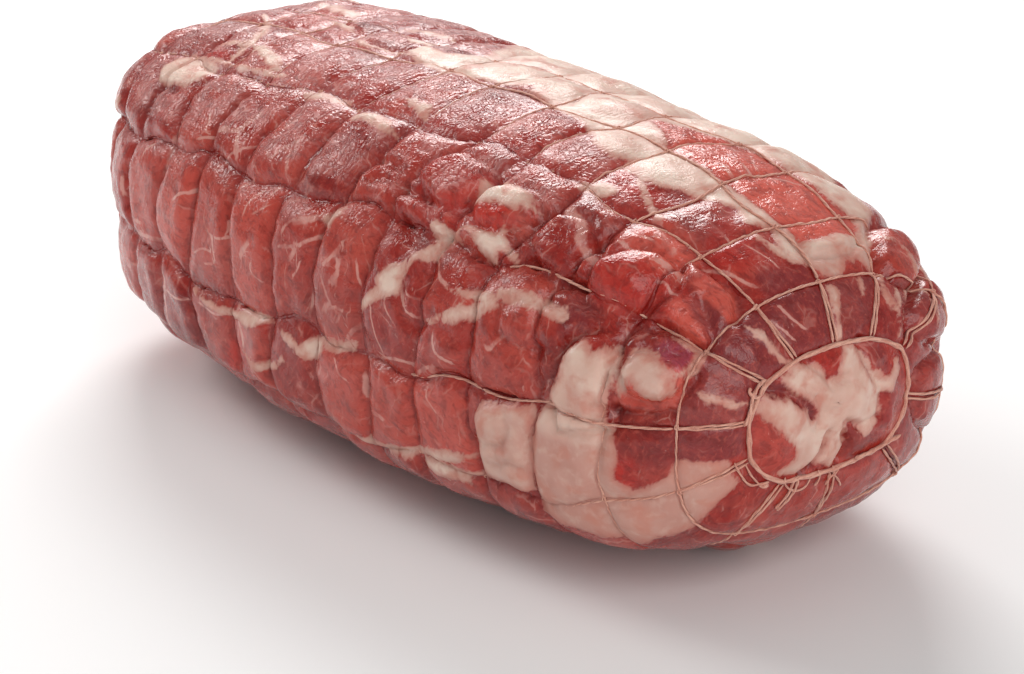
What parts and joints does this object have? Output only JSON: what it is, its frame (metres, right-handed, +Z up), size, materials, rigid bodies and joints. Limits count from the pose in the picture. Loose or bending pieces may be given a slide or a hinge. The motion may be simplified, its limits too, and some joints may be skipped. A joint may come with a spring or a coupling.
{
  "type": "boneless pork butt roast",
  "caption": "Raw boneless pork shoulder roast, rolled into a log and held in a stretch net whose strings press grooves into the meat.",
  "frame": {"origin": "middle of the roast's box, at the table", "axes": "+X along the roast towards the end gathered on the ring that shows, +Z up"},
  "size_m": [0.2912, 0.1372, 0.1126],
  "materials": {
    "meat": "raw pork: moist dark red lean with cream fat, marbling and silverskin",
    "netting": "twisted cotton yarn, stained pink by meat juice"
  },
  "bodies": {
    "root": {"meat": "meat", "netting": "netting"}
  },
  "joints": []
}
